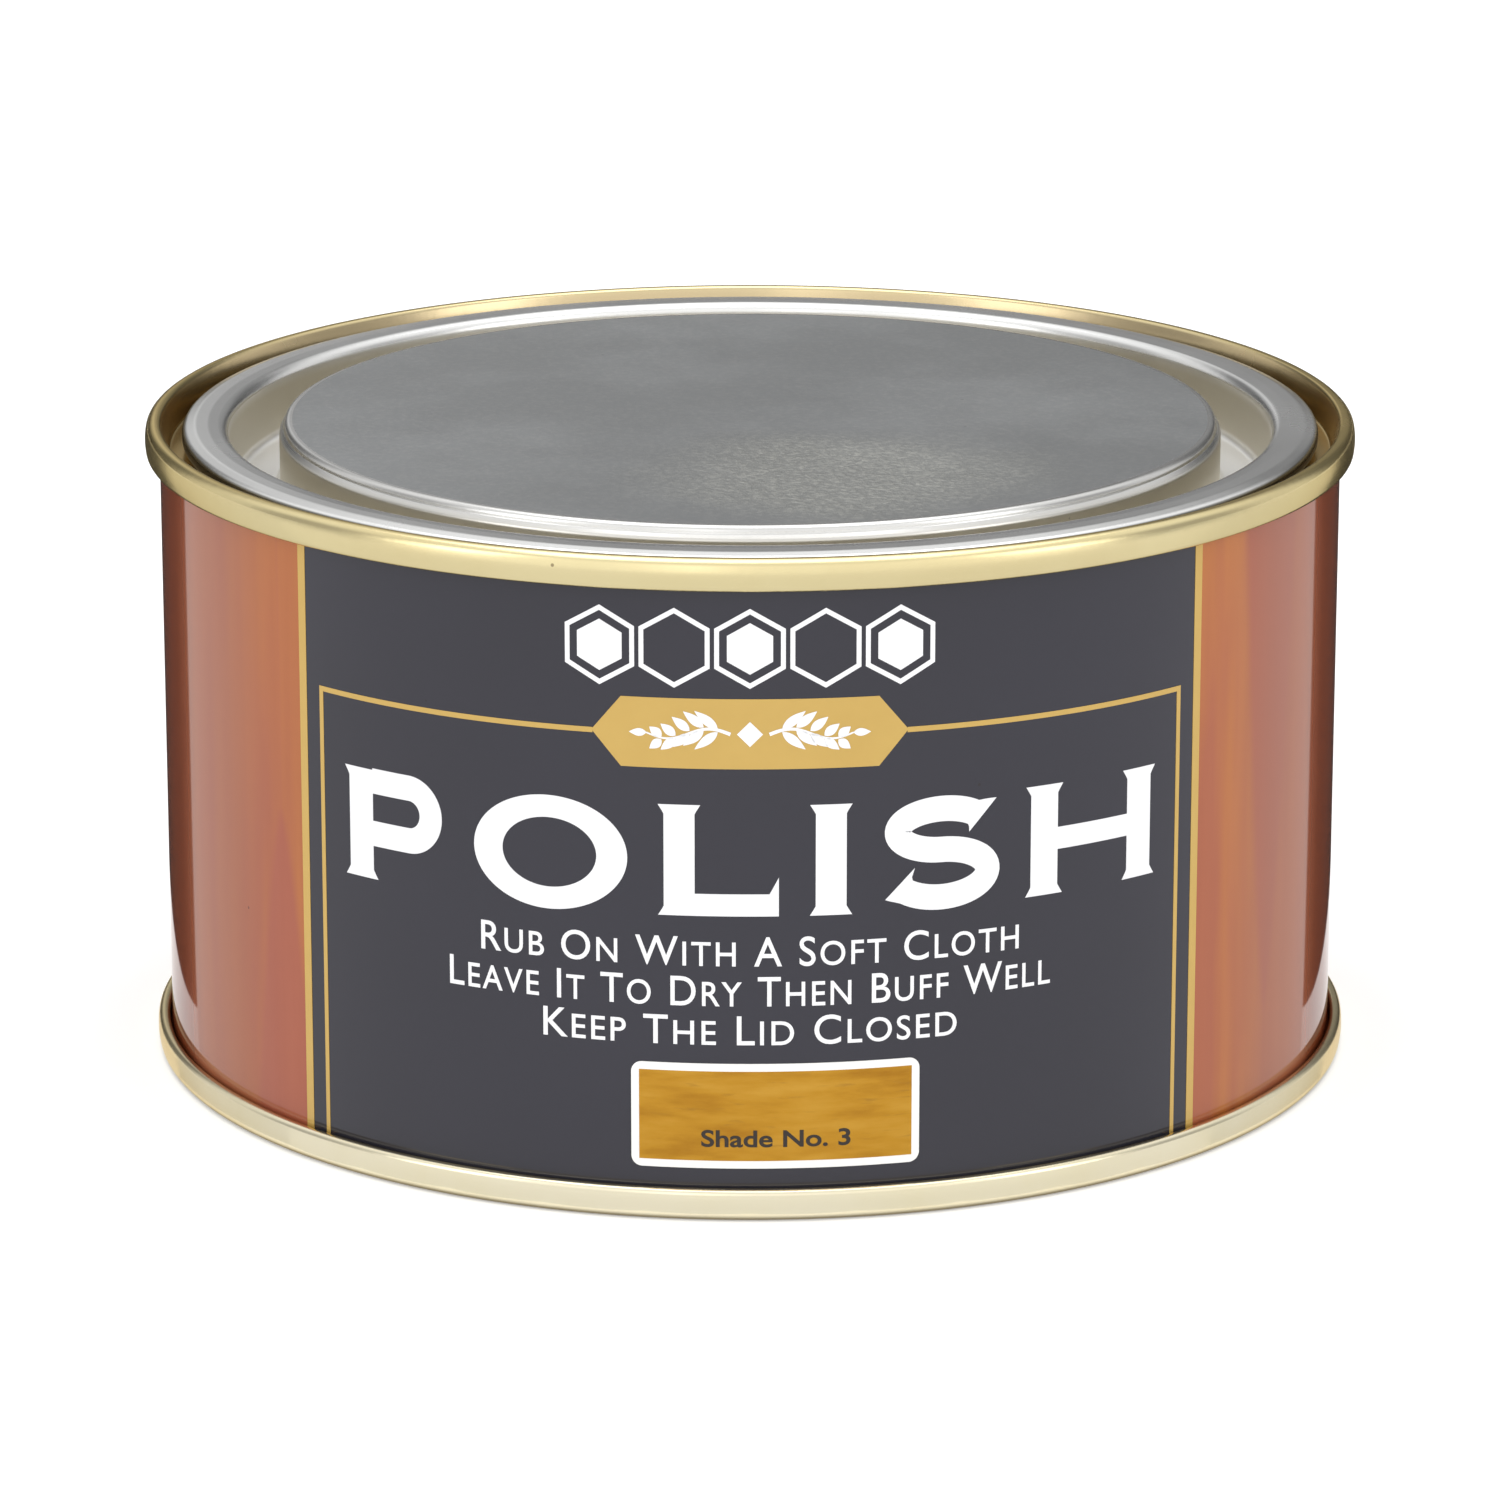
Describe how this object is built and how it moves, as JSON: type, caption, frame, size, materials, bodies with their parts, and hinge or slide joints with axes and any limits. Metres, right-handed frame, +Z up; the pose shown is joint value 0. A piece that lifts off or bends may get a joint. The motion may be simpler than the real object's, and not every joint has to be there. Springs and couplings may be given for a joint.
{
  "type": "lever lid polish tin",
  "caption": "Squat round tinplate tin of paste wax polish, double-seamed, with a lever ring and a press-in lid that lifts off.",
  "frame": {"origin": "centre of the foot of the base seam, on the surface that the tin stands on", "axes": "+Z up along the tin's axis, the printed front faces -Y"},
  "size_m": [0.12, 0.12, 0.064],
  "materials": {
    "printed_wall": "glossy litho print on tinplate",
    "gold_lacquer": "clear gold lacquer over bright tinplate",
    "bright_tinplate": "bright tinplate with a matt centre",
    "seam_compound": "matt",
    "paste_wax": "soft satin wax",
    "label_paper": "semi-gloss printed paper"
  },
  "bodies": {
    "tin": {"body_shell": "printed_wall", "lever_ring": "gold_lacquer", "base_end": "gold_lacquer", "top_seam_seal": "seam_compound", "base_seam_seal": "seam_compound", "wax_fill": "paste_wax", "shade_label": "label_paper"},
    "lid": {"lever_lid": "bright_tinplate"}
  },
  "joints": [
    {"name": "lid_lift", "type": "slide", "parent": "tin", "child": "lid", "axis": [0, 0, 1], "range_m": [0, 0.05]}
  ]
}
